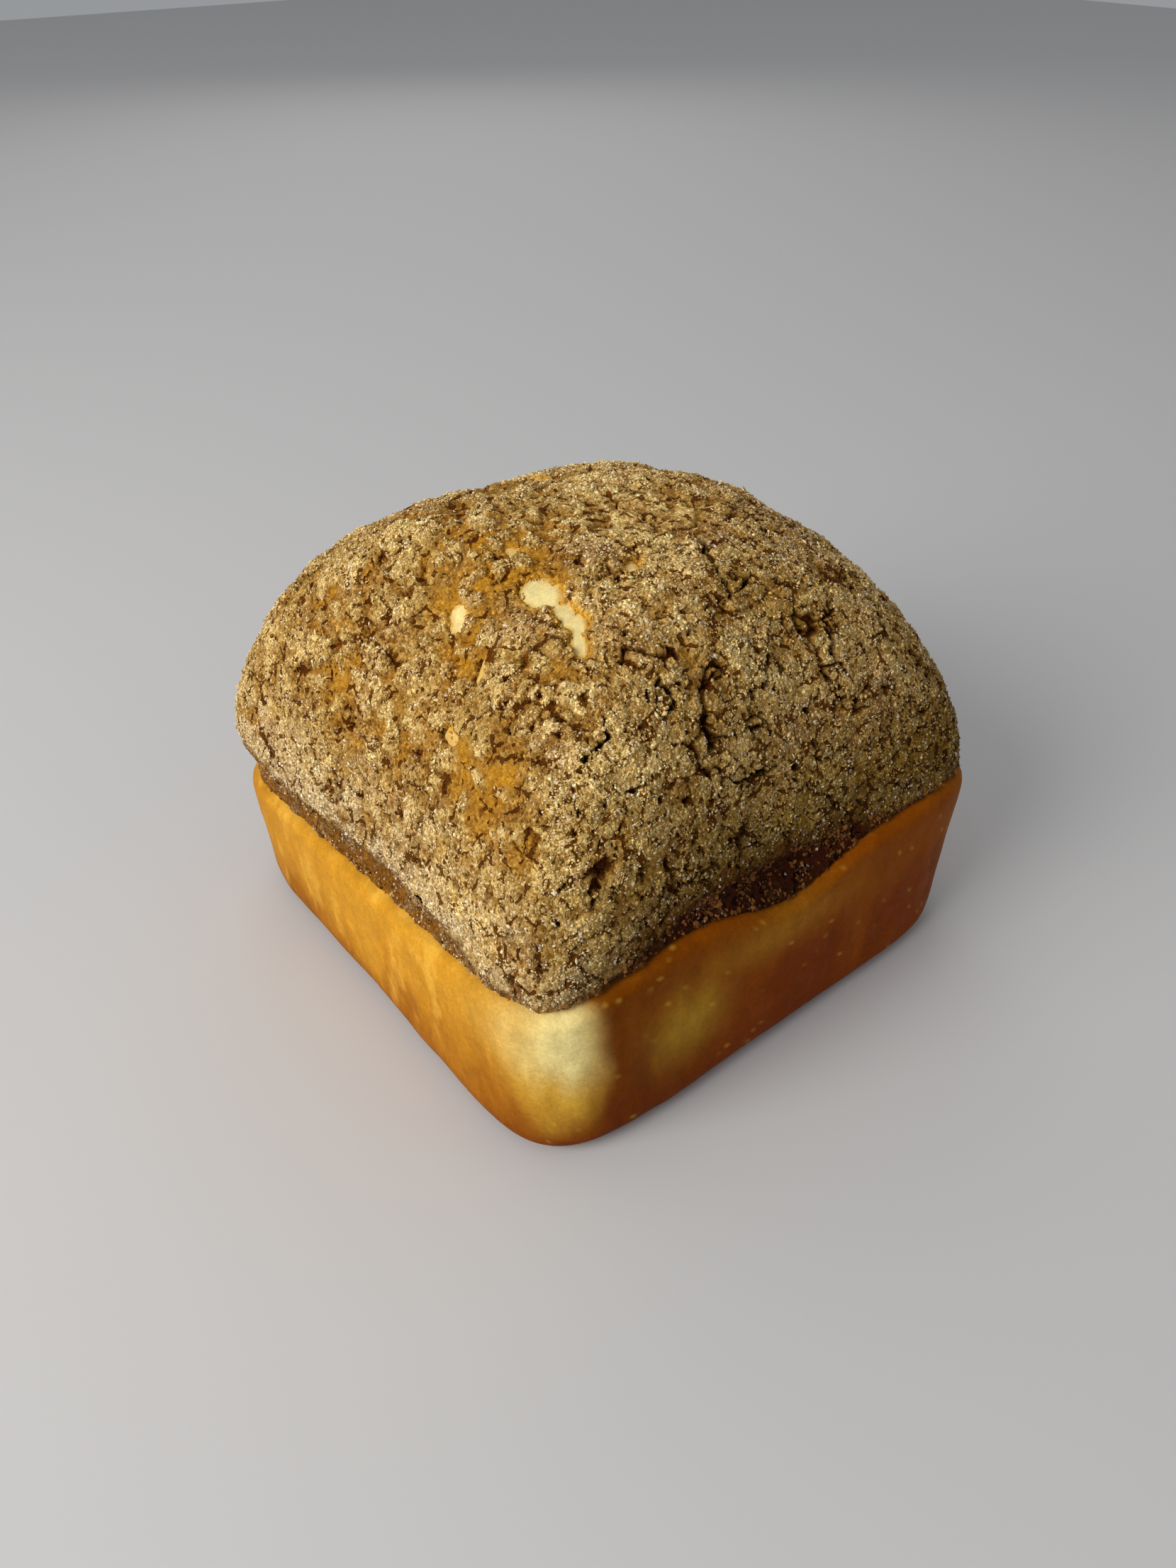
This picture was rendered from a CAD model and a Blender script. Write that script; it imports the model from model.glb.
"""Melon pan bun: the looks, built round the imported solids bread_body and cookie_crust.

Lengths inside this script are millimetres, and become metres when a mesh is made.
Places on the bun are directions from CENTRE: a turn, which is the azimuth from +X, and a rise, which is the
elevation above the horizon, both in radians.
Each noise call has its own seed, so every run gives the same bun.
"""

import math
from functools import partialmethod

import bpy
import numpy as np
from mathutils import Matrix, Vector
from mathutils.bvhtree import BVHTree


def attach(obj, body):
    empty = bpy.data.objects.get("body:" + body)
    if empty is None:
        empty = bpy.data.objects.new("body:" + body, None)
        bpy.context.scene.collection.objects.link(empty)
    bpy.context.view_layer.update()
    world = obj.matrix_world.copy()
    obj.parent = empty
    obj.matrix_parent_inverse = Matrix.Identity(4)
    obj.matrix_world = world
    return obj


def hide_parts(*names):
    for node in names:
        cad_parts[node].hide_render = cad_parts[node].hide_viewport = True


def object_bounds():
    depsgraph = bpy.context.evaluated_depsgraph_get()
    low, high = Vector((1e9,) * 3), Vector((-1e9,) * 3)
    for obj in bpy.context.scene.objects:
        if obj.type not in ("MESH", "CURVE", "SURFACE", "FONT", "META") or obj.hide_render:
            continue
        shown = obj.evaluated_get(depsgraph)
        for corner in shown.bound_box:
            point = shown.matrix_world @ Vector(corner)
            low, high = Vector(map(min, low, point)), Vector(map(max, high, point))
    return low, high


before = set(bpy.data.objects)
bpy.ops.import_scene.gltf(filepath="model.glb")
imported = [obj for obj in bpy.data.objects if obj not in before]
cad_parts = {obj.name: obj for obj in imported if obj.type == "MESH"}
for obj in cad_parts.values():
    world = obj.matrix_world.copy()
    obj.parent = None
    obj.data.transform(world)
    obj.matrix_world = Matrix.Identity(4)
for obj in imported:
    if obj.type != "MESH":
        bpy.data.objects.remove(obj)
cad_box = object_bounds()

MM = 0.001

CENTRE = np.array([0.0, 0.0, 20.0])
FAR = 200.0  # from CENTRE, well outside the bun
HALF_WIDTH = 47.0  # of the bun, for looks that go by its sides
TURN_STEP = math.radians(0.5)
TURNS = np.arange(0.0, math.tau, TURN_STEP)
RISES = np.radians(np.arange(90.0, -90.25, -0.5))  # from the top down, TURN_STEP apart

# How finely the pieces are divided.
CROWN_CELLS = 300
CROWN_SHARE = 0.62
FLANK_ROWS = 80
BAND_ROWS = 26
BREAD_CELLS = 116
BREAD_ROWS = (52, 12, 34, 8, 14)  # hidden dome, lip, wall, lower edge and base

# Depths under the smooth crust, in mm: bread in the openings, the crust's hidden edge below it, and relief.
WINDOW_LEVEL = 1.05
BELOW_WINDOW = 0.55
FRINGE_DEPTH = 0.80
GULLY_DEPTH = 0.34
HOLE_DEPTH = 0.9
MELTED_DEPTH = 0.35
CRACK_START = 0.20
DEEPEST_CRACK = 2.2

SUGAR_COUNT = 20000
FLAKE_COUNT = 24500
BAND_CRUMB_COUNT = 2400


# ---- noise


def lattice(cell, seed):
    """Repeatable random numbers from 0 to 1 for whole-number lattice places."""
    mixed = cell[..., 0] * np.uint32(0x9E3779B1)
    mixed = mixed + cell[..., 1] * np.uint32(0x85EBCA77)
    mixed = mixed + cell[..., 2] * np.uint32(0xC2B2AE3D)
    mixed = mixed + np.uint32(seed * 7919 % 65521)
    mixed = (mixed ^ (mixed >> np.uint32(15))) * np.uint32(0x2C1B3C6D)
    mixed = (mixed ^ (mixed >> np.uint32(12))) * np.uint32(0x297A2D39)
    mixed = mixed ^ (mixed >> np.uint32(15))
    return (mixed / 0xFFFFFFFF).astype(np.float32)


def another_random(mark):
    """A second random number from 0 to 1, made from a first."""
    return (mark * 91.7) % 1.0


def corner_steps(low, high):
    span = range(low, high)
    return [np.array((x, y, z)) for x in span for y in span for z in span]


def noise(points, pitch, seed):
    """Smooth noise from -1 to 1, with grain of about pitch mm."""
    place = points / pitch
    floor = np.floor(place)
    t = place - floor
    t = t * t * (3 - 2 * t)
    floor = floor.astype(np.int64)
    total = np.zeros(points.shape[:-1], np.float32)
    for step in corner_steps(0, 2):
        weight = np.prod(np.where(step, t, 1 - t), axis=-1)
        total += weight * lattice((floor + step).astype(np.uint32), seed)
    return 2 * total - 1


def fractal(points, pitch, seed, octaves=3):
    """Noise with finer and finer grain, each half as strong as the last."""
    total = 0.0
    for octave in range(octaves):
        total = total + noise(points, pitch / 2 ** octave, seed + octave) / 2 ** octave
    return total / 1.5


def cells(points, pitch, seed):
    """Distances in mm to the nearest and next scattered point, and a random number of the nearest."""
    place = points / pitch
    floor = np.floor(place).astype(np.int64)
    count = points.shape[:-1]
    unmet = 9.0  # in cells, further than any point that is looked at
    first = np.full(count, unmet, np.float32)
    second = np.full(count, unmet, np.float32)
    mark = np.zeros(count, np.float32)
    for step in corner_steps(-1, 2):
        cell = (floor + step).astype(np.uint32)
        random = [lattice(cell, seed + axis) for axis in range(3)]
        gap = 0.0
        for axis in range(3):
            spot = floor[..., axis] + step[axis] + 0.5 + (random[axis] - 0.5)
            gap = gap + (place[..., axis] - spot) ** 2
        gap = np.sqrt(gap).astype(np.float32)
        nearer = gap < first
        second = np.where(nearer, first, np.minimum(second, gap))
        mark = np.where(nearer, lattice(cell, seed + 3), mark)
        first = np.where(nearer, gap, first)
    return first * pitch, second * pitch, mark


def ease(low, high, value):
    """0 below low, 1 above high, smooth between; high may be the smaller."""
    t = np.clip((value - low) / (high - low), 0.0, 1.0)
    return t * t * (3 - 2 * t)


def bell(*shares):
    """1 where every share is 0, falling smoothly to nearly 0 beyond 1."""
    return np.exp(-sum(share ** 2 for share in shares))


def drawn_up(points, share):
    """Points with their heights shrunk to a share, which draws noise at them out upward."""
    return points * np.array([1.0, 1.0, share])


def paint(base, over, amount):
    """A colour with another laid over it, not at all at 0 and wholly at 1."""
    return base + (over - base) * np.clip(amount, 0, 1)[..., None]


def warp(points, pitch, size, seed):
    """Points shaken by smooth noise, up to about size mm."""
    shift = [noise(points, pitch, seed + axis) for axis in range(3)]
    return points + np.stack(shift, axis=-1) * size


# ---- the solids as tables of distance


def directions(turn, rise):
    across = np.cos(rise)
    return np.stack((across * np.cos(turn), across * np.sin(turn), np.sin(rise)), axis=-1)


def unit(vectors):
    return vectors / np.linalg.norm(vectors, axis=-1, keepdims=True)


def angles_of(points):
    gap = points - CENTRE
    turn = np.arctan2(gap[..., 1], gap[..., 0]) % math.tau
    return turn, np.arctan2(gap[..., 2], np.hypot(gap[..., 0], gap[..., 1]))


def solid_tree(name):
    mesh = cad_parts[name].data
    corners = [vertex.co / MM for vertex in mesh.vertices]
    return BVHTree.FromPolygons(corners, [tuple(face.vertices) for face in mesh.polygons])


def distances(tree, turn, rise):
    """How far from CENTRE the solid's outermost face is in each direction, 0 where there is none."""
    ways = directions(turn, rise)
    shape = ways.shape[:-1]
    found = np.zeros(math.prod(shape), np.float32)
    middle = Vector(CENTRE)
    for number, way in enumerate(ways.reshape(-1, 3).tolist()):
        way = Vector(way)
        hit = tree.ray_cast(middle + way * FAR, -way)
        if hit[0] is not None:
            found[number] = FAR - hit[3]
    return found.reshape(shape)


def between(table, row, turn):
    """Value of a table between its rows and its columns, whose last is next to the first."""
    column = (turn / TURN_STEP) % len(TURNS)
    left = column.astype(int)
    top = row.astype(int)
    across = column - left
    down = row - top
    if table.ndim == 3:
        across = across[..., None]
        down = down[..., None]
    left = left % len(TURNS)
    right = (left + 1) % len(TURNS)
    upper = table[top, left] * (1 - across) + table[top, right] * across
    lower = table[top + 1, left] * (1 - across) + table[top + 1, right] * across
    return upper * (1 - down) + lower * down


def last_place(table):
    """The lowest place between rows, just above the last row."""
    return len(table) - 1.001


def sample(table, turn, rise):
    """Value of a table in any direction."""
    row = np.clip((RISES[0] - rise) / TURN_STEP, 0, last_place(table))
    return between(table, row, turn)


def over_the_pole(table, rows):
    """The table with rows more at its top, from the other side of the pole."""
    beyond = np.roll(table[1 : rows + 1], len(TURNS) // 2, axis=1)[::-1]
    return np.concatenate((beyond, table, table[-rows:][::-1]))


def softened(table, size):
    """The table with its facets smoothed away, over about size mm."""
    usual_way = 50.0  # from CENTRE to the face
    reach = np.maximum(np.cos(RISES), 0.002)[:, None]
    reach = reach * np.maximum(table.mean(axis=1, keepdims=True), 1.0)
    waves = np.arange(len(TURNS) // 2 + 1)[None, :]
    spectrum = np.fft.rfft(table, axis=1) * np.exp(-0.5 * (waves * size / reach) ** 2)
    turned = np.fft.irfft(spectrum, n=len(TURNS), axis=1)
    width = size / (usual_way * TURN_STEP)
    rows = int(3 * width) + 1
    padded = over_the_pole(turned, rows)
    weights = np.exp(-0.5 * (np.arange(-rows, rows + 1) / width) ** 2)
    weights /= weights.sum()
    count = len(RISES)
    return sum(weight * padded[shift : shift + count] for shift, weight in enumerate(weights))


def sliding(table, rows, pick):
    """The largest or smallest neighbour within so many rows and columns."""
    padded = over_the_pole(table, rows)
    count = len(RISES)
    best = padded[rows : rows + count]
    for shift in range(2 * rows + 1):
        best = pick(best, padded[shift : shift + count])
    turned = best
    for shift in range(-rows, rows + 1):
        turned = pick(turned, np.roll(best, shift, axis=1))
    return turned


def outward_normals(table):
    """Unit normals of the surface that a table describes."""
    places = CENTRE + directions(TURN, RISE) * table[..., None]
    down = np.gradient(places, axis=0)
    on_round = np.roll(places, -1, axis=1) - np.roll(places, 1, axis=1)
    normal = np.cross(down, on_round)
    normal /= np.maximum(np.linalg.norm(normal, axis=-1, keepdims=True), 1e-9)
    near_pole = 5
    cap = normal[near_pole].mean(axis=0)
    normal[:near_pole] = unit(cap)
    outward = np.sum(normal * (places - CENTRE), axis=-1, keepdims=True)
    return np.where(outward < 0, -normal, normal)


crust_tree = solid_tree("cookie_crust")
bread_tree = solid_tree("bread_body")
TURN, RISE = np.meshgrid(TURNS, RISES)
raw_crust = distances(crust_tree, TURN, RISE)
raw_bread = distances(bread_tree, TURN, RISE)

# Going down, the rim is the first place from which the crust draws in again, and the foot is the last of it.
DRAWN_IN = 0.15
FOOT_UNDER = math.radians(40)
RIM_UNDER = math.radians(32)
ROWS = np.arange(len(RISES))[:, None]
on_crust = raw_crust > raw_bread
foot_row = np.where(on_crust & (RISE < FOOT_UNDER), ROWS, 0).max(axis=0)
plan = np.where(on_crust & (RISE < RIM_UNDER), raw_crust * np.cos(RISE), 0.0)
drawn_in = (plan < np.maximum.accumulate(plan, axis=0) - DRAWN_IN) & (plan > 0)
waist_row = np.where(drawn_in.any(axis=0), drawn_in.argmax(axis=0), foot_row)
rim_row = np.where(ROWS <= waist_row, plan, 0.0).argmax(axis=0)
above = ROWS <= rim_row


def around(values, turn):
    """A value at any azimuth, from a closed row of values."""
    return np.interp(turn, np.append(TURNS, math.tau), np.append(values, values[0]))


def around_softened(values, size):
    """A closed row of values smoothed over about size degrees."""
    waves = np.arange(len(TURNS) // 2 + 1)
    spread = np.exp(-0.5 * (waves * math.radians(size)) ** 2)
    return np.fft.irfft(np.fft.rfft(values) * spread, n=len(TURNS))


RIM_RISE = around_softened(RISES[rim_row], 1.6)
FOOT_RISE = around_softened(RISES[foot_row], 1.5)

# The dome is closed over its cracks. Under the rim it is carried straight down meanwhile, which keeps the
# lip out of it, except on the base.
CLOSING_ROWS = 8
BASE_RISE = math.radians(-30)
raw_outer = np.maximum(raw_crust, raw_bread)
rim_plan = np.take_along_axis(raw_outer * np.cos(RISE), rim_row[None, :], axis=0)
carried = np.where(above | (RISE < BASE_RISE), raw_outer, rim_plan / np.cos(RISE).clip(0.3))
closed = sliding(sliding(carried, CLOSING_ROWS, np.maximum), CLOSING_ROWS, np.minimum)
on_dome = ease(-0.005, 0.03, RISE - RIM_RISE[None, :])
OUTER = softened(raw_outer + (closed - raw_outer) * on_dome, 0.9)
OUTER_NORMALS = outward_normals(softened(OUTER, 1.0))
BREAD = softened(raw_bread, 0.8)
BREAD_NORMALS = outward_normals(BREAD)


# ---- where things are on the dome


def side_turns(count):
    """Azimuths round the bun, count to each side, evenly far apart on a square."""
    across = np.arange(count) / count * 2 - 1
    return np.concatenate([np.arctan(across) + side * math.pi / 2 for side in range(4)]) % math.tau


def along_profile(table, turn, start, end, shares):
    """Elevations at given shares of the way down each azimuth's profile, from start to end."""
    ways = np.linspace(0.0, 1.0, 260)[:, None]
    rise = start + (end - start) * ways
    turn = np.broadcast_to(turn, rise.shape)
    places = directions(turn, rise) * sample(table, turn, rise)[..., None]
    steps = np.linalg.norm(np.diff(places, axis=0), axis=-1)
    length = np.concatenate((np.zeros((1, steps.shape[1])), np.cumsum(steps, axis=0)))
    length /= length[-1]
    found = [np.interp(shares, length[:, k], rise[:, k]) for k in range(rise.shape[1])]
    return np.array(found).T


# Elevation for each share of the way from the top to the rim, at every azimuth.
DOME_SHARES = np.linspace(0.0, 1.0, 400)
DOME_RISE = along_profile(OUTER, TURNS, np.full(len(TURNS), math.pi / 2), RIM_RISE, DOME_SHARES)


def dome_rise(turn, share):
    return between(DOME_RISE, np.clip(share, 0, 1) * last_place(DOME_RISE), turn)


def surface(table, turn, rise):
    return CENTRE + directions(turn, rise) * sample(table, turn, rise)[..., None]


# ---- relief and colour of the crust


def rgb(red, green, blue):
    """A colour, as the shares of light that it reflects."""
    return np.array((red, green, blue))


SUGARED = rgb(0.83, 0.600, 0.238)
TOASTED = rgb(0.43, 0.25, 0.058)
PORE = rgb(0.080, 0.021, 0.001)
DIMPLE = rgb(0.22, 0.068, 0.003)
GULLY = rgb(0.34, 0.155, 0.022)
AMBER = rgb(0.47, 0.215, 0.013)
DUSTED = rgb(0.70, 0.57, 0.37)
BURNT = rgb(0.11, 0.045, 0.020)
CREAM = rgb(0.86, 0.71, 0.31)
CREAM_EDGE = rgb(0.66, 0.34, 0.035)
BAND_LIGHT = rgb(0.23, 0.092, 0.010)
BAND_DARK = rgb(0.042, 0.008, 0.001)

# Hollows where melted sugar shines amber: azimuth, share of the way to the rim, size in mm.
AMBER_SPOTS = (
    (306, 0.25, 3.4), (282, 0.25, 3.0), (260, 0.24, 3.2), (249, 0.35, 3.2), (271, 0.32, 2.6),
    (285, 0.47, 3.2), (264, 0.42, 3.0), (246, 0.55, 2.4), (252, 0.64, 2.6), (292, 0.65, 3.0),
    (304, 0.64, 3.2), (260, 0.77, 2.6), (235, 0.54, 2.0), (343, 0.50, 3.4),
    (40, 0.45, 3.2), (20, 0.62, 3.0), (120, 0.55, 4.6), (178, 0.48, 4.4), (95, 0.72, 3.6),
)
DARK_SPOTS = ((313, 0.905, 2.2), (310, 0.885, 1.4))


def near_spots(points, spots):
    """1 at the middle of a spot, falling to 0 about its size away."""
    total = np.zeros(points.shape[:-1])
    for turn, share, size in spots:
        turn = np.array([math.radians(turn)])
        middle = surface(OUTER, turn, dome_rise(turn, np.array([share])))[0]
        gap = np.linalg.norm(points - middle, axis=-1)
        total = np.maximum(total, bell(gap / size))
    return total


def solid_depth(points):
    """How far the solids' own cracks and openings go below the smooth crust, and where it is open."""
    ragged = warp(warp(points, 2.4, 0.6, 401), 0.8, 0.45, 411)
    turn, rise = angles_of(ragged)
    crust_way = distances(crust_tree, turn, rise)
    bread_way = distances(bread_tree, turn, rise)
    depth = np.clip(sample(OUTER, turn, rise) - crust_way, 0.0, 4.0)
    opening = crust_way < bread_way
    return depth, opening


def height_above(line, points):
    """How far up the face a place is from the rim or the foot, in mm."""
    turn, rise = angles_of(points)
    return (rise - around(line, turn)) * np.linalg.norm(points - CENTRE, axis=-1)


def right_side(points):
    """1 on the browner +X side of the crust, 0 on the -Y side and over the middle."""
    return ease(-0.08, 0.60, (points[..., 0] * 0.76 + points[..., 1] * 0.56) / HALF_WIDTH)


def left_side(points, start):
    """1 far out on the -Y side of the crust, 0 before start, as a share of the way from the middle."""
    return ease(start, -0.8, (points[..., 1] + 0.4 * points[..., 0]) / HALF_WIDTH)


def crust_look(points, kind):
    """Relief in mm, colour and other looks of the crust at smooth places, of kind "dome" or "band"."""
    # Sizes and places are in mm, and the rest are shares from 0 to 1.
    right = right_side(points)
    back = ease(-5.0, 40.0, points[..., 1])
    low = ease(56.0, 36.0, points[..., 2])
    facing_left = left_side(points, -0.2)
    up = height_above(RIM_RISE, points)
    wavy = warp(warp(points, 3.2, 1.3, 11), 0.95, 0.55, 15)
    rough = warp(points, 0.9, 0.28, 21)

    first, second, _mark = cells(wavy, 5.6, 31)
    cobble = 1 - (first / 3.9) ** 2
    seam = second - first
    nub, _next, nub_mark = cells(rough, 2.3, 51)
    grain, _next, grain_mark = cells(points, 0.78, 61)
    swell = 0.30 * np.clip(cobble, -0.6, 1.0) - 0.12
    swell = swell + 0.34 * fractal(points, 3.4, 71) + 0.34 * noise(points, 8.5, 75)
    calm = 1 - 0.45 * np.maximum(1.25 * right, low)
    relief = calm * swell + 0.18 * (1 - (nub / 1.35) ** 2) * (0.4 + 0.6 * nub_mark)
    relief = relief + 0.12 * (0.5 - grain / 0.5) * (0.5 + grain_mark)

    # Seams between the knobs, open here and there, more often on the +X side.
    gate = 0.75 * noise(points, 4.2, 81) + 0.75 * noise(points, 1.9, 82) + 0.30 * right + 0.08 * back
    seam_size = 0.62 * ease(0.32, 0.95, gate)
    crease = ease(seam_size + 0.02, 0.35 * seam_size, seam)
    # Smooth browner gullies between the clumps, wide or closed up by turns.
    gully = ease(1.75, 0.35, seam + 1.0 * noise(points, 2.2, 83) + 0.4 * noise(points, 0.9, 84))
    gully = gully * ease(-0.55, 0.25, noise(points, 7.5, 85) + 0.2 * noise(points, 2.4, 86))
    gully = gully * (1 - 0.55 * low) * (1 - 0.55 * right)
    relief = relief - GULLY_DEPTH * gully
    # Pores with uneven outlines.
    torn = warp(points, 1.1, 0.55, 91)
    pore_gap, _next, pore_mark = cells(drawn_up(torn, 0.80), 2.6, 95)
    rare = 0.17 * right
    pore_size = (0.28 + 0.44 * another_random(pore_mark)) * ease(0.47 - rare, 0.50 - rare, pore_mark)
    pore = ease(pore_size, 0.6 * pore_size - 0.01, pore_gap)
    hole = np.clip(np.maximum(crease, pore), 0, 1)
    under = ease(0.6, -0.9, up + 0.5 * noise(points, 2.5, 163))
    hole = hole * (1 - 0.75 * under * (1 - right)) * (0.4 + 0.6 * ease(0.0, 1.5, np.abs(up)))
    relief = relief - HOLE_DEPTH * hole

    opening = np.zeros(points.shape[:-1], bool)
    crack = np.zeros(points.shape[:-1])
    melted = np.zeros(points.shape[:-1])
    if kind == "dome":
        melted = near_spots(points, AMBER_SPOTS)
        depth, opening = solid_depth(points)
        depth = depth * ease(0.6, 2.5, up)
        crack = ease(CRACK_START, 0.75, depth)
        cracked = np.minimum(relief, 0.1) - np.minimum(1.6 * depth, DEEPEST_CRACK) * crack
        relief = np.where(depth > CRACK_START, cracked, relief)
        relief = np.where(opening, -WINDOW_LEVEL - BELOW_WINDOW, relief)
        crack = crack * ~opening
        centre_left = ease(0.98, 0.45, right)
        hollow = ease(0.22, -0.38, relief)
        patchy = ease(-0.30, 0.40, noise(points, 8.0, 111) + 0.5 * noise(points, 2.6, 112))
        melted = melted * (0.02 + 0.75 * hollow + 0.45 * gully) + 0.65 * patchy * gully * centre_left
        melted = np.clip(melted, 0, 1) * ease(0.3, 2.5, up)
        relief = relief - MELTED_DEPTH * melted * (1 - crack)

    tone = 0.40 * (grain_mark - 0.5) + 0.35 * fractal(points, 0.9, 121, 2) + 0.30 * noise(points, 3.4, 131)
    tone = tone + 0.28 * noise(points, 9.0, 135) + 0.75 * np.clip(relief, -0.7, 0.6)
    tone = tone + 0.20 * fractal(points, 1.8, 137, 2)
    colour = paint(TOASTED, SUGARED, ease(-0.70, 0.62, tone - 0.10 * back))
    rosy = ease(0.1, 0.8, noise(points, 8.0, 145))[..., None] * 0.16
    colour = colour * (1 - rosy * rgb(0.55, 0.9, 0.6))
    colour = paint(colour, GULLY, 0.72 * gully)
    shaded = right * (0.02 + 0.98 * ease(62.0, 40.0, points[..., 2]))
    colour = colour * (1 - shaded[..., None] * rgb(0.56, 0.63, 0.85))
    colour = paint(colour, AMBER * (1 - 0.45 * right)[..., None], 0.92 * melted)
    pit = paint(DIMPLE, PORE, ease(0.15, 0.6, right + 0.25 * noise(points, 6.0, 181)))
    dust_low = low * ease(0.05, 0.6, fractal(points, 3.0, 151, 2) + 0.55 * low)
    # Over the wide part of the recess on the +X side the edge is dark, and the dusting lies above it.
    y = points[..., 1]
    sooty = right * ease(-46.0, -38.0, y) * ease(26.0, 14.0, y)
    raised = up - 4.0 * sooty + 1.5 * noise(points, 5.0, 155)
    edge = ease(6.0, 0.5, raised) * ease(-0.7, 0.3, fractal(points, 2.0, 157, 2))
    soot = sooty * ease(4.2, 1.4, up + 1.1 * noise(points, 2.2, 159))
    dusty = DUSTED * (1 - right[..., None] * rgb(0.64, 0.68, 0.76))
    dust = (0.05 + 0.26 * facing_left) * dust_low * (1 - melted) * (1 - 0.6 * gully)
    dust = dust + 0.32 * edge * (1 - soot)
    colour = paint(colour, dusty, dust)
    colour = paint(colour, 0.35 * BAND_LIGHT + 0.65 * BAND_DARK, 0.72 * soot)
    dark = near_spots(points, DARK_SPOTS) * ease(-0.5, 0.4, noise(points, 1.2, 161))
    colour = paint(colour, BURNT, 0.75 * dark)

    # Under the rim the dough is melted and browner.
    shine = ease(0.55, 0.10, fractal(points, 2.2, 171) + 0.35 * ease(-3.0, 0.0, up))
    band = paint(BAND_LIGHT, BAND_DARK, ease(0.25, 0.8, right))
    band = band * (1 + 0.30 * fractal(points, 1.4, 175, 2))[..., None]
    colour = paint(colour * (1 - 0.55 * under)[..., None], band, under * (0.60 + 0.40 * shine))
    relief = relief + (0.25 * (1 - shine) - 0.5 * relief) * under
    melted = melted * (1 - under) + 0.7 * shine * under
    colour = paint(colour, pit, 1.15 * hole)
    colour = paint(colour, 0.5 * PORE, 1.1 * crack)
    pitted = (0.34 + 0.12 * right + 0.04 * back) * (1 - 0.6 * melted)
    pitted = pitted * ease(-0.2, 2.0, up) if kind == "dome" else 0.08 + 0.15 * right
    return relief, colour, opening, melted, pitted


# ---- meshes


def grid_faces(rows, columns, closed):
    """Corner numbers of the faces of a grid; a closed one joins its last column to its first."""
    count = columns if closed else columns - 1
    row, column = np.meshgrid(np.arange(rows - 1), np.arange(count), indexing="ij")
    following = (column + 1) % columns
    here, below = row * columns, (row + 1) * columns
    corners = (here + column, below + column, below + following, here + following)
    return np.stack(corners, axis=-1).reshape(-1, 4)


def corner_map(rows, columns, place):
    """Map of a closed grid's face corners; place gives u and v from a row, a column and a step across."""
    row, column = np.meshgrid(np.arange(rows - 1), np.arange(columns), indexing="ij")
    steps = ((0, 0), (1, 0), (1, 1), (0, 1))
    places = [np.stack(place(row + down, column, across), axis=-1) for down, across in steps]
    return np.stack(places, axis=2).reshape(-1, 2)


def strip_map(rows, columns, low=0.0, high=1.0):
    """Map of a closed grid: its four sides lie above one another, between low and high."""
    side = columns // 4
    margin = 0.012
    used = 1 - 2 * margin
    tall = (high - low) / 4

    def place(row, column, across):
        u = margin + (column % side + across) / side * used
        return u, low + tall * (column // side + margin + row / (rows - 1) * used)

    return corner_map(rows, columns, place)


def disc_map(rows, columns, middle, size):
    """Map of a closed grid that narrows to a point, as a disc."""

    def place(row, column, across):
        reach = row / (rows - 1) * size
        turn = (column + across) / columns * math.tau
        return middle[0] + reach * np.cos(turn), middle[1] + reach * np.sin(turn)

    return corner_map(rows, columns, place)


def placed(name, data):
    """A new object in the scene."""
    thing = bpy.data.objects.new(name, data)
    bpy.context.scene.collection.objects.link(thing)
    return thing


def new_piece(name, points, faces, colours, uv, material, flat=False, looks=None):
    """A mesh object: points in mm, each with a colour and other looks, and faces with a uv to each corner."""
    mesh = bpy.data.meshes.new(name)
    corners = faces.shape[1]
    mesh.vertices.add(len(points))
    mesh.vertices.foreach_set("co", (points * MM).astype(np.float32).ravel())
    mesh.loops.add(faces.size)
    mesh.loops.foreach_set("vertex_index", faces.astype(np.int32).ravel())
    mesh.polygons.add(len(faces))
    mesh.polygons.foreach_set("loop_start", np.arange(0, faces.size, corners, dtype=np.int32))
    mesh.update(calc_edges=True)
    tint = mesh.attributes.new("tint", "FLOAT_COLOR", "POINT")
    rgba = np.ones((len(points), 4), np.float32)
    rgba[:, :3] = np.clip(colours, 0, 1)
    tint.data.foreach_set("color", rgba.ravel())
    for label, values in (looks or {}).items():
        layer = mesh.attributes.new(label, "FLOAT", "POINT")
        layer.data.foreach_set("value", np.asarray(values, np.float32).ravel())
    layer = mesh.uv_layers.new(name="OFBake")
    layer.uv.foreach_set("vector", uv.astype(np.float32).ravel())
    mesh.validate()
    if flat:
        mesh.shade_flat()
    else:
        mesh.shade_smooth()
    mesh.materials.append(material)
    piece = placed(name, mesh)
    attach(piece, "root")
    return piece


BOX_LOW = np.array(cad_box[0]) / MM
BOX_HIGH = np.array(cad_box[1]) / MM


def inside_box(points):
    """Points kept within the solids' own box."""
    margin = 0.02
    return np.clip(points, BOX_LOW + margin, BOX_HIGH - margin)


def kept_down(points, normal, room):
    """How far to sink places, in mm, that have less than so much room up to the solids' own box."""
    gap = np.where(normal > 0, BOX_HIGH - points, points - BOX_LOW) / np.maximum(np.abs(normal), 0.05)
    return np.clip(room - gap.min(axis=-1), 0.0, room)


# ---- materials


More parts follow.
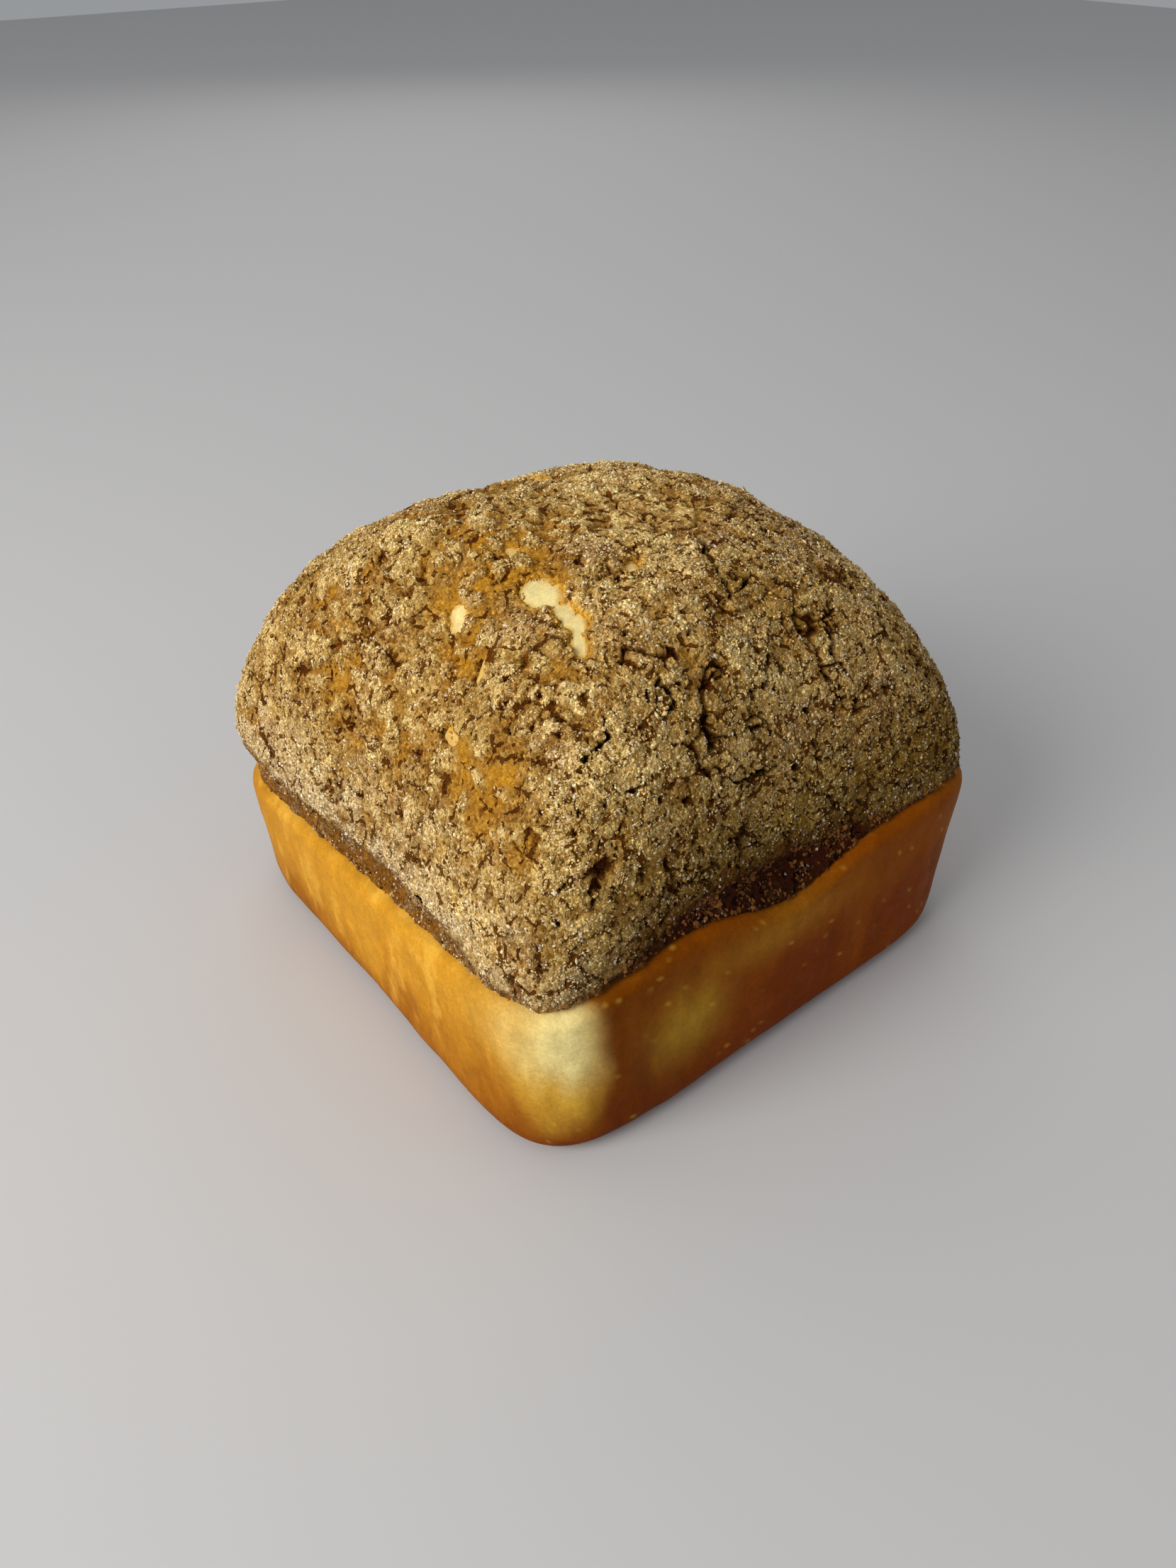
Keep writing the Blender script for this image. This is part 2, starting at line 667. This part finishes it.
class Look:
    """A material, with short ways to add nodes to it. Sizes are in mm."""

    def __init__(self, name):
        self.material = bpy.data.materials.new(name)
        self.material.use_nodes = True
        self.tree = self.material.node_tree
        self.shader = self.tree.nodes["Principled BSDF"].inputs

    def feed(self, socket, value):
        """Give an input a fixed value, or another node's output."""
        if isinstance(value, bpy.types.NodeSocket):
            self.tree.links.new(value, socket)
        else:
            socket.default_value = value

    def add(self, kind, inputs, **settings):
        node = self.tree.nodes.new("ShaderNode" + kind)
        for key, value in settings.items():
            setattr(node, key, value)
        for key, value in inputs.items():
            self.feed(node.inputs[key], value)
        return node

    def place(self):
        return self.add("TexCoord", {}).outputs["Object"]

    def attribute(self, label, output="Fac"):
        return self.add("Attribute", {}, attribute_name=label).outputs[output]

    def noise(self, place, pitch, detail, roughness=0.5, output="Fac"):
        """Noise with grain of about pitch."""
        inputs = {"Vector": place, "Scale": 1 / (pitch * MM), "Detail": detail, "Roughness": roughness}
        return self.add("TexNoise", inputs).outputs[output]

    def cells(self, place, pitch, feature="F1"):
        inputs = {"Vector": place, "Scale": 1 / (pitch * MM)}
        return self.add("TexVoronoi", inputs, feature=feature).outputs

    def shaken(self, place, pitch, size, detail):
        """Coordinates shaken by noise of about pitch, by about size."""
        shake = self.noise(place, pitch, detail, output="Color")
        inputs = {0: shake, 1: (2 * size * MM,) * 3, 2: place}
        return self.add("VectorMath", inputs, operation="MULTIPLY_ADD").outputs["Vector"]

    def spread(self, value, low, high, new_low, new_high):
        inputs = {"Value": value, "From Min": low, "From Max": high, "To Min": new_low, "To Max": new_high}
        return self.add("MapRange", inputs).outputs["Result"]

    def math(self, operation, first, second, clamp=False):
        inputs = {0: first, 1: second}
        return self.add("Math", inputs, operation=operation, use_clamp=clamp).outputs["Value"]

    plus = partialmethod(math, "ADD")
    minus = partialmethod(math, "SUBTRACT")
    times = partialmethod(math, "MULTIPLY")

    def tinted(self, colour, factor):
        """A colour times a value, or times another colour."""
        return self.add("VectorMath", {0: colour, 1: factor}, operation="MULTIPLY").outputs["Vector"]

    def mixed(self, amount, first, second):
        inputs = {"Factor": amount, "A": first, "B": second}
        return self.add("Mix", inputs, data_type="RGBA").outputs["Result"]

    def raise_by(self, height, distance):
        """A bump on the shader, by distance where the height is 1."""
        bump = self.add("Bump", {"Height": height, "Strength": 1.0, "Distance": distance * MM})
        self.feed(self.shader["Normal"], bump.outputs["Normal"])


def grained_material(name, grain, contrast, roughness, bump, bump_pitch, specular=0.5):
    """The points' own colours with finer grain laid over them, and a bump at the same scale."""
    look = Look(name)
    place = look.place()
    fine = look.plus(look.noise(place, grain, 3.0, 0.65), look.noise(place, 0.35 * grain, 2.0, 0.6))
    factor = look.spread(fine, 0.7, 1.3, 1 - contrast, 1 + contrast)
    look.feed(look.shader["Base Color"], look.tinted(look.attribute("tint", "Color"), factor))
    if isinstance(roughness, tuple):
        roughness = look.spread(look.noise(place, grain * 3, 2.0), 0.3, 0.7, *roughness)
    look.feed(look.shader["Roughness"], roughness)
    look.shader["Specular IOR Level"].default_value = specular
    look.raise_by(look.noise(place, bump_pitch, 3.0, 0.6), bump)
    return look.material


def crust_grain_material(name, grain):
    """The points' own colours broken up into packed sugary grains, with browner gaps, pits and tears."""
    look = Look(name)
    place = look.place()
    tint = look.attribute("tint", "Color")
    melted = look.attribute("melted")
    pitted = look.attribute("pitted")

    # Packed grains, each of its own brightness.
    shaken = look.shaken(look.shaken(place, 0.9, 0.25, 2.0), 0.35, 0.12, 1.0)
    packed = look.cells(shaken, grain)
    gaps = look.cells(shaken, grain, "DISTANCE_TO_EDGE")
    own = look.add("SeparateColor", {"Color": packed["Color"]}).outputs
    ramp = look.add("ValToRGB", {"Fac": own["Red"]})
    stops = ramp.color_ramp.elements
    stops[0].color = (0.52, 0.37, 0.15, 1.0)
    stops[1].color = (1.66, 1.80, 2.05, 1.0)
    stops.new(0.30).color = (0.86, 0.79, 0.66, 1.0)
    stops.new(0.75).color = (1.12, 1.15, 1.16, 1.0)
    smooth_over = look.times(melted, 0.45)
    sugary = look.mixed(smooth_over, ramp.outputs["Color"], (0.98, 0.98, 0.98, 1.0))
    fine = look.spread(look.noise(shaken, 0.28, 2.0, 0.6), 0.3, 0.7, 0.72, 1.28)
    colour = look.tinted(look.tinted(tint, sugary), fine)
    in_gap = look.spread(gaps["Distance"], 0.02, 0.15, 0.65, 0.0)
    in_gap = look.times(in_gap, look.minus(1.0, melted, True))
    colour = look.mixed(in_gap, colour, look.tinted(colour, (0.62, 0.46, 0.20)))

    # Small pits, and short tears along the edges of larger cells.
    torn = look.shaken(look.shaken(place, 1.3, 0.55, 2.0), 0.45, 0.10, 1.0)
    pit = look.cells(torn, 2.1)
    mark = look.add("SeparateColor", {"Color": pit["Color"]}).outputs["Red"]
    reach = look.times(look.plus(look.plus(mark, pitted), -1.0, True), 1.5)
    reach = look.math("MINIMUM", reach, 0.24)
    round_pit = look.times(look.minus(reach, pit["Distance"]), 14.0, True)
    seam = look.cells(torn, 3.1, "DISTANCE_TO_EDGE")
    gate = look.plus(look.noise(place, 2.1, 2.0, 0.6), look.times(pitted, 0.36))
    opened = look.spread(gate, 0.60, 0.72, 0.0, 0.11)
    tear = look.times(look.minus(opened, seam["Distance"]), 22.0, True)
    hole = look.math("MAXIMUM", round_pit, tear)
    colour = look.mixed(hole, colour, look.tinted(tint, (0.24, 0.115, 0.02)))
    look.feed(look.shader["Base Color"], colour)

    # Melted sugar is glossier and smoother.
    matt = look.spread(own["Green"], 0.0, 1.0, 0.50, 0.90)
    look.feed(look.shader["Roughness"], look.minus(matt, look.times(melted, 0.30)))
    look.shader["Specular IOR Level"].default_value = 0.06
    domed = look.spread(packed["Distance"], 0.0, 0.6, 1.0, 0.0)
    height = look.plus(domed, look.times(look.noise(shaken, 0.25, 2.0, 0.6), 0.6))
    height = look.times(height, look.minus(1.0, smooth_over))
    look.raise_by(look.minus(height, look.times(hole, 1.6)), 0.26)
    return look.material


crust_material = crust_grain_material("crust_crumb", 0.50)
flake_material = grained_material("crumb_flake", 0.35, 0.30, (0.50, 0.80), 0.05, 0.3, 0.12)
sugar_material = grained_material("sugar_grain", 0.50, 0.12, 0.30, 0.03, 0.3)
bread_material = grained_material("bread_skin", 1.1, 0.15, (0.48, 0.62), 0.06, 0.8, 0.03)


# ---- crust pieces

# Of each piece: points, normals, colours, relief, whether open, how melted, and whether it is the band.
skins = []


def spread_out(mask, passes):
    """A mask of a grid with its edges softened, by more the more passes are made."""
    soft = mask.astype(float)
    for _pass in range(passes):
        beside = [np.roll(soft, step, axis) for axis in (0, 1) for step in (1, -1)]
        soft = sum(beside, soft) / 5
    return soft


def laid_skin(name, turn, rise, kind, faces=None, uv=None, sink=0.0):
    """One piece of the crust's face, from its grid of directions, which is closed unless faces are given."""
    if faces is None:
        faces = grid_faces(*rise.shape, True)
        uv = strip_map(*rise.shape)
    base = surface(OUTER, turn, rise)
    normal = unit(sample(OUTER_NORMALS, turn, rise))
    relief, colour, opening, melted, pitted = crust_look(base, kind)
    # Ragged crumbs hang over the edges of the openings, and melted sugar shines around them.
    ragged = 0.56 + 0.30 * noise(base, 1.5, 193) + 0.14 * noise(base, 0.7, 194)
    fringe = opening & (spread_out(opening, 4) < ragged)
    near = np.clip(2.6 * spread_out(opening, 12) * (1 + 0.5 * noise(base, 1.6, 195)), 0, 1)
    opening = opening & ~fringe
    colour = paint(colour, CREAM_EDGE, near)
    relief = np.where(fringe, 0.12 * noise(base, 0.8, 196) - FRINGE_DEPTH, relief - 0.45 * near * ~opening)
    melted = np.maximum(melted, near)
    pitted = pitted * (1 - near)
    relief = relief - sink - kept_down(base, normal, 0.8)
    points = inside_box(base + normal * relief[..., None])

    kept = ~opening.ravel()[faces].all(axis=1)
    used = np.zeros(opening.size, bool)
    used[faces[kept].ravel()] = True
    renumber = np.cumsum(used) - 1
    points, normal, colour = (values.reshape(-1, 3)[used] for values in (points, normal, colour))
    relief, opening, melted, pitted = (values.ravel()[used] for values in (relief, opening, melted, pitted))
    skins.append((points, normal, colour, relief, opening, melted, np.full(len(points), kind == "band")))
    corner_kept = np.repeat(kept, faces.shape[1])
    looks = {"melted": melted, "pitted": pitted}
    numbers = renumber[faces[kept]]
    return new_piece(name, points, numbers, colour, uv[corner_kept], crust_material, looks=looks)


def crown():
    """The top of the crust, on a square grid."""
    line = np.linspace(-1.0, 1.0, CROWN_CELLS + 1)
    a, b = np.meshgrid(line, line, indexing="ij")
    ring = np.maximum(np.abs(a), np.abs(b))
    turn = np.arctan2(b, a) % math.tau
    rise = dome_rise(turn, ring * CROWN_SHARE)
    faces = grid_faces(CROWN_CELLS + 1, CROWN_CELLS + 1, False)
    number = np.stack((a, b), axis=-1).reshape(-1, 2)
    uv = 0.5 + 0.49 * number[faces.ravel()]
    return laid_skin("crust_crown", turn, rise, "dome", faces, uv)


def flank():
    """The sides of the dome, from the crown to the rim."""
    turn = side_turns(CROWN_CELLS)
    shares = np.linspace(CROWN_SHARE, 1.0, FLANK_ROWS + 1)
    share, turn = np.meshgrid(shares, turn, indexing="ij")
    laid_skin("crust_flank", turn, dome_rise(turn, share), "dome")


def band():
    """The recess under the rim, down to the foot and on into the bread."""
    turn = side_turns(CROWN_CELLS)
    foot = around(FOOT_RISE, turn)
    under = math.radians(1.2)  # how far it goes on below the foot
    sunk = 1.6  # and how deep into the bread, in mm
    shares = np.linspace(0, 1, BAND_ROWS + 1)
    rise = along_profile(OUTER, turn, around(RIM_RISE, turn), foot - under, shares)
    turn = np.broadcast_to(turn, rise.shape)
    below = (foot[None, :] + 0.004 - rise) / under
    sink = sunk * ease(0.0, 0.8, below)
    laid_skin("crust_band", turn, rise, "band", sink=sink)


crown_piece = crown()
flank()
band()
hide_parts("cookie_crust")


# ---- bread

GOLD = rgb(0.66, 0.300, 0.020)
ORANGE = rgb(0.53, 0.200, 0.008)
BROWN = rgb(0.20, 0.042, 0.003)
DEEP = rgb(0.20, 0.031, 0.0)
SIENNA = rgb(0.25, 0.054, 0.0)
PALE = rgb(0.90, 0.74, 0.30)
STRAW = rgb(0.80, 0.46, 0.050)
OLIVE = rgb(0.50, 0.28, 0.022)
UNDER = rgb(0.24, 0.075, 0.012)
GILDED = rgb(0.78, 0.45, 0.060)


def bread_look(points):
    """Colour of the bread's skin, and a low relief in mm."""
    x, y, z = np.moveaxis(points, -1, 0)
    right = ease(0.20, 0.92, (x - 0.22 * np.abs(y) + 3.0 * noise(points, 14.0, 200)) / HALF_WIDTH)
    mottled = fractal(drawn_up(points, 0.55), 8.0, 201)
    streaks = fractal(drawn_up(points, 0.25), 3.4, 205)
    fine = fractal(drawn_up(points, 0.45), 1.2, 211, 2)
    low = ease(17.0, 1.0, z + 4.0 * noise(points, 12.0, 221))
    high = ease(15.0, 27.0, z)
    baked = 0.7 * mottled - 0.65 * high + 0.75 * low + 0.25 * streaks
    colour = paint(GOLD, ORANGE, ease(-0.5, 0.9, baked))
    colour = paint(colour, BROWN, 0.60 * low * ease(-1.1, 0.5, mottled + 0.3 * streaks))
    colour = paint(colour, BROWN, 0.50 * ease(7.0, 1.0, z + 2.0 * mottled))
    browned = paint(DEEP, SIENNA, ease(-0.3, 0.9, 0.9 * high + 0.5 * mottled + 0.4 * streaks))
    colour = paint(colour, browned, 0.97 * right)
    # The far sides, which the photo doesn't show, are an even browner gold.
    away = np.maximum(ease(10.0, 40.0, y), ease(-30.0, -44.0, x)) * (1 - right)
    colour = paint(colour, 0.75 * ORANGE + 0.25 * BROWN, (0.42 + 0.30 * mottled) * away)
    far_left = ease(8.0, -44.0, x) * ease(-40.0, -46.0, y)
    colour = colour * (1 - far_left[..., None] * rgb(0.14, 0.16, 0.08))

    # The near corner is pale under the tip of the crust, golden lower down, with browner skin to its left.
    shaken = warp(drawn_up(points, 0.6), 5.0, 2.6, 225)
    left_of = HALF_WIDTH - shaken[..., 0]
    right_of = shaken[..., 1] + HALF_WIDTH
    front = ease(12.0, 5.5, right_of + 1.5 * streaks)
    narrow = 0.5 + 0.5 * ease(8.0, 26.0, z)
    beside = bell(left_of / (12.5 * narrow)) * front
    pale = bell(left_of / (8.5 * narrow)) * front * ease(12.0, 23.0, z + 4.0 * streaks)
    turned = right * ease(9.0, 12.0, right_of) * ease(34.0, 16.0, right_of)
    colour = colour * (1 - 0.22 * turned[..., None])
    tanned = bell((left_of - 23.0) / 9.0) * ease(-38.0, -44.0, y) * ease(29.0, 14.0, z)
    colour = paint(colour, BROWN + 0.5 * (ORANGE - BROWN), 0.50 * tanned * (0.8 + 0.5 * streaks))
    colour = paint(colour, STRAW, 0.85 * beside * ease(3.0, 17.0, z + 5.0 * mottled))
    colour = paint(colour, PALE, 1.15 * pale * (0.85 + 0.3 * streaks))
    blotch = bell((y + 21.0) / 6.5, (z - 19.0) / 7.5) * right
    blotch = np.maximum(blotch, 0.45 * bell((y + 6.0) / 16.0, (z - 27.0) / 4.0) * right)
    colour = paint(colour, OLIVE, 0.85 * blotch * (0.85 + 0.4 * streaks))
    gilded = ease(2.5, 0.0, -height_above(FOOT_RISE, points)) * ease(-0.6, 0.5, streaks) * (1 - right)
    colour = paint(colour, GILDED, 0.55 * gilded)
    mealy = ease(0.15, 0.75, streaks + 0.5 * fine) * (1 - right) * ease(2.0, 9.0, z)
    colour = paint(colour, GILDED, 0.38 * mealy)
    colour = colour * (1 + 0.15 * fine + 0.13 * streaks)[..., None]

    blister_gap, _next, blister_mark = cells(drawn_up(points, 0.55), 1.35, 241)
    blister = ease(0.32, 0.10, blister_gap)
    blister = blister * ease(0.60, 0.68, blister_mark + 0.30 * low * right)
    colour = paint(colour, STRAW * 0.8, 0.55 * blister * (0.30 + 0.70 * right))
    beneath = ease(2.5, 0.2, z)
    colour = paint(colour, UNDER * (1 + 0.3 * mottled)[..., None], 0.85 * beneath)
    relief = 0.20 * noise(points, 11.0, 251) + 0.10 * noise(points, 4.0, 252)
    return relief + 0.06 * streaks + 0.06 * blister, colour


def bread():
    """The whole loaf, from the top of its hidden dome to the middle of its base."""
    turn = side_turns(BREAD_CELLS)
    foot = around(FOOT_RISE, turn)
    under_crust = foot + math.radians(1.0)
    lip = foot - math.radians(5.5)
    # The wall ends 4.5 mm up and 48 mm out, and the rounded edge on the base, 40 mm out.
    edge = np.full(len(turn), math.atan2(4.5 - CENTRE[2], 48.0))
    base = np.full(len(turn), math.atan2(-CENTRE[2], 40.0))
    pole = np.full(len(turn), math.pi / 2)
    ends = (pole, under_crust, lip, edge, base, -pole)
    parts = []
    for start, end, rows in zip(ends, ends[1:], BREAD_ROWS):
        parts.append(along_profile(BREAD, turn, start, end, np.linspace(0, 1, rows + 1)[:-1]))
    rise = np.concatenate(parts + [-pole[None, :]])
    turn = np.broadcast_to(turn, rise.shape)
    points = surface(BREAD, turn, rise)
    normal = sample(BREAD_NORMALS, turn, rise)
    relief, colour = bread_look(points)

    # Under the crust the dome shows only through the openings, where it swells up between the crumbs.
    hidden = ease(-0.01, 0.02, rise - foot[None, :])
    outer_way = sample(OUTER, turn, rise)
    inner_way = sample(BREAD, turn, rise)
    crust_way = distances(crust_tree, turn, rise)
    opening = (crust_way < inner_way - 0.3) & (rise > around(RIM_RISE, turn) + 0.05)
    swell = opening.astype(float)
    for axis in (1, 0, 1, 0):
        swell = np.maximum(swell, np.maximum(np.roll(swell, 1, axis), np.roll(swell, -1, axis)))
    swell = spread_out(swell, 2)
    lifted = outer_way - WINDOW_LEVEL + 0.25 * fractal(points, 2.2, 261, 2)
    lift = (lifted - inner_way) * swell
    points = points + directions(turn, rise) * lift[..., None]
    cream = CREAM * (1 + 0.12 * fractal(points, 1.6, 271, 2))[..., None]
    inside = ease(0.40, 0.95, spread_out(opening, 1) + 0.15 * noise(points, 1.3, 273))
    cream = paint(CREAM_EDGE, cream, 0.35 + 0.65 * inside)
    colour = paint(colour, cream, hidden)
    relief = relief * (1 - hidden) - kept_down(points, normal, 0.3)
    lifted_off = ease(0.0, 2.0, points[..., 2])
    points = inside_box(points + normal * (relief * lifted_off)[..., None])

    rows, columns = rise.shape
    dome_rows = BREAD_ROWS[0]
    wall_end = sum(BREAD_ROWS[:-1])
    uv = np.concatenate((
        disc_map(dome_rows + 1, columns, (0.24, 0.24), 0.23),
        strip_map(wall_end - dome_rows + 1, columns, 0.49, 1.0),
        disc_map(rows - wall_end, columns, (0.75, 0.24), 0.23)[::-1],
    ))
    faces = grid_faces(rows, columns, True)
    points, colour = points.reshape(-1, 3), colour.reshape(-1, 3)
    return new_piece("bread_loaf", points, faces, colour, uv, bread_material)


bread_piece = bread()
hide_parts("bread_body")


# ---- loose grains

OCTAHEDRON = (
    np.array([(1, 0, 0), (0, 1, 0), (-1, 0, 0), (0, -1, 0), (0, 0, 1), (0, 0, -1)], float),
    np.array([(0, 1, 4), (1, 2, 4), (2, 3, 4), (3, 0, 4), (1, 0, 5), (2, 1, 5), (3, 2, 5), (0, 3, 5)]),
)


def icosahedron():
    """Corners and faces, with radius 1."""
    golden = (1 + math.sqrt(5)) / 2
    corners = []
    for a in (-1, 1):
        for b in (-golden, golden):
            corners += [(0, a, b), (a, b, 0), (b, 0, a)]
    corners = np.array(corners) / math.hypot(1, golden)
    edge = 2 / math.hypot(1, golden)
    near = np.abs(np.linalg.norm(corners[:, None] - corners[None], axis=-1) - edge) < 0.01
    faces = []
    for i in range(12):
        for j in range(i + 1, 12):
            for k in range(j + 1, 12):
                if near[i, j] and near[j, k] and near[i, k]:
                    way = np.cross(corners[j] - corners[i], corners[k] - corners[i])
                    faces.append((k, j, i) if np.dot(way, corners[i]) < 0 else (i, j, k))
    return corners, np.array(faces)


def laid_turns(normals, tilt, random):
    """Random rotations that lay a flake's thin way along each normal, as matrices of axes."""
    out = unit(normals + tilt * random.normal(size=normals.shape))
    along = unit(np.cross(out, random.normal(size=normals.shape)))
    return np.stack((along, np.cross(out, along), out), axis=-1)


def uneven_sizes(random, middle, spread, low, high, count):
    """Sizes in mm, spread round the middle one."""
    return np.clip(random.lognormal(math.log(middle), spread, count), low, high)


def scattered(name, shape, places, normals, sizes, stretch, proud, colours, material, uneven, random, flat):
    """Grains of one kind, sunk into the crust so that only part of each stands proud."""
    corners, faces = shape
    count = len(places)
    body = corners[None] * (1 + uneven * random.uniform(-1, 1, (count, len(corners), 1)))
    body = body * (np.array(stretch) * random.uniform(0.75, 1.25, (count, 3)))[:, None, :]
    body = np.einsum("nij,nkj->nki", laid_turns(normals, 0.45, random), body) * sizes[:, None, None]
    points = inside_box(body + (places + normals * (sizes * proud)[:, None])[:, None, :])
    numbers = (faces[None] + (np.arange(count) * len(corners))[:, None, None]).reshape(-1, 3)
    side = math.ceil(math.sqrt(count))
    cell = np.stack((np.arange(count) % side, np.arange(count) // side), axis=-1)
    local = 0.5 + 0.38 * corners[:, :2] / np.abs(corners[:, :2]).max()
    flat_map = (cell[:, None, :] + local[None]) / side
    uv = flat_map.reshape(-1, 2)[numbers.ravel()]
    tint = np.repeat(colours, len(corners), axis=0)
    return new_piece(name, points.reshape(-1, 3), numbers, tint, uv, material, flat)


def picked(weights, count, random):
    return random.choice(len(weights), count, replace=False, p=weights / weights.sum())


def grains():
    random = np.random.default_rng(20)
    points, normals, colours, relief, opening, melted, on_band = map(np.concatenate, zip(*skins))
    area = np.where(on_band, 0.6, 1.0) * ~opening
    right = right_side(points)
    left = left_side(points, -0.1)
    low = ease(52.0, 36.0, points[:, 2])
    clump = ease(-0.4, 0.5, fractal(points, 3.0, 301, 2))
    shallow = ease(-0.55, 0.10, relief)
    light = colours.sum(axis=1)
    shallow = shallow * ease(0.10, 0.40, light) * (1 - 0.65 * melted) * (~on_band)
    shallow = shallow + 0.5 * clump * on_band

    weight = area * (0.35 + 0.65 * clump) * (0.02 + 0.98 * shallow) * (1 + 1.2 * left * low)
    spots = picked(weight, SUGAR_COUNT, random)
    size = uneven_sizes(random, 0.16, 0.28, 0.09, 0.32, SUGAR_COUNT)
    warm = random.uniform(0.0, 1.0, (SUGAR_COUNT, 1)) ** 1.8
    tint = colours[spots] * 1.15 * (1 - warm) + rgb(0.95, 0.80, 0.54) * warm
    tint = tint * (1 - 0.35 * right[spots, None])
    scattered(
        "sugar_grains", OCTAHEDRON, points[spots], normals[spots], size, (1.35, 1.0, 0.85), 0.30, tint,
        sugar_material, 0.25, random, True,
    )

    weight = area * (0.45 + 0.55 * clump) * (0.01 + 0.99 * shallow)
    spots = picked(weight, FLAKE_COUNT, random)
    size = uneven_sizes(random, 0.205, 0.28, 0.11, 0.42, FLAKE_COUNT)
    shade = np.clip(random.lognormal(-0.06, 0.38, (FLAKE_COUNT, 1)), 0.38, 1.9)
    tint = colours[spots] * shade ** np.array((1.0, 1.18, 1.65))  # darker flakes are redder
    scattered(
        "crumb_flakes", OCTAHEDRON, points[spots], normals[spots], size, (1.45, 0.95, 0.65), 0.12, tint,
        flake_material, 0.30, random, False,
    )

    weight = np.where(on_band, 1.0, 0.0) * (0.12 + right) * (0.05 + 0.95 * clump)
    spots = picked(weight, BAND_CRUMB_COUNT, random)
    size = uneven_sizes(random, 0.25, 0.35, 0.12, 0.55, BAND_CRUMB_COUNT)
    shade = random.uniform(0.0, 1.0, (BAND_CRUMB_COUNT, 1)) ** 1.4
    dark = rgb(0.06, 0.016, 0.002) + shade * rgb(0.20, 0.085, 0.020)
    amber = rgb(0.20, 0.085, 0.012) + shade * rgb(0.30, 0.21, 0.08)
    tint = amber + (dark - amber) * ease(0.2, 0.8, right[spots])[:, None]
    scattered(
        "band_crumbs", icosahedron(), points[spots], normals[spots], size, (1.35, 1.0, 0.6), 0.1, tint,
        flake_material, 0.32, random, True,
    )


grains()


# ---- floor, light and camera

FLOOR_COLOUR = (0.60, 0.59, 0.585, 1.0)
SKY_COLOUR = (0.93, 0.96, 1.0, 1.0)
SKY_STRENGTH = 0.33
LENS = 27.03  # in mm, on a sensor 36 mm wide
CAMERA_PLACE = (0.12758, -0.10409, 0.1547)  # in m
CAMERA_TURN = (51.38, 0.0, 51.26)  # in degrees

# Name, azimuth and elevation in degrees, distance and size in m, power in W, and colour.
LIGHTS = (
    ("window", 270.0, 32.0, 0.75, 0.50, 4.5, (1.0, 0.985, 0.96)),
    ("ceiling", 215.0, 72.0, 1.0, 1.1, 1.2, (1.0, 1.0, 1.0)),
    ("side", 40.0, 28.0, 0.9, 0.6, 0.15, (1.0, 0.98, 0.95)),
    ("back", 150.0, 30.0, 0.9, 0.7, 0.75, (1.0, 0.98, 0.95)),
)


def floor():
    mesh = bpy.data.meshes.new("floor")
    half = 1.5
    look = Look("pale_floor")
    look.shader["Base Color"].default_value = FLOOR_COLOUR
    look.shader["Roughness"].default_value = 0.75
    corners = [(-half, -half, 0.0), (half, -half, 0.0), (half, half, 0.0), (-half, half, 0.0)]
    mesh.from_pydata(corners, [], [(0, 1, 2, 3)])
    mesh.materials.append(look.material)
    piece = placed("floor", mesh)


def lights():
    """Soft round lights that look at the middle of the bun, and a pale sky."""
    target = Vector((0.0, 0.0, 0.035))
    for name, turn, rise, distance, size, power, colour in LIGHTS:
        data = bpy.data.lights.new(name, "AREA")
        data.shape = "DISK"
        data.size = size
        data.energy = power
        data.color = colour
        lamp = placed(name, data)
        way = Vector(directions(math.radians(turn), math.radians(rise)))
        lamp.location = target + way * distance
        lamp.rotation_mode = "QUATERNION"
        lamp.rotation_quaternion = way.to_track_quat("Z", "Y")
    world = bpy.data.worlds.new("room")
    world.use_nodes = True
    sky = world.node_tree.nodes["Background"]
    sky.inputs["Color"].default_value = SKY_COLOUR
    sky.inputs["Strength"].default_value = SKY_STRENGTH
    bpy.context.scene.world = world


def camera():
    data = bpy.data.cameras.new("camera")
    data.sensor_width = 36.0
    data.lens = LENS
    data.clip_start = 0.005
    data.clip_end = 10.0
    eye = placed("camera", data)
    eye.location = CAMERA_PLACE
    eye.rotation_euler = [math.radians(angle) for angle in CAMERA_TURN]
    bpy.context.scene.camera = eye


floor()
lights()
camera()
bpy.context.scene.view_settings.view_transform = "Standard"

bpy.context.view_layer.update()
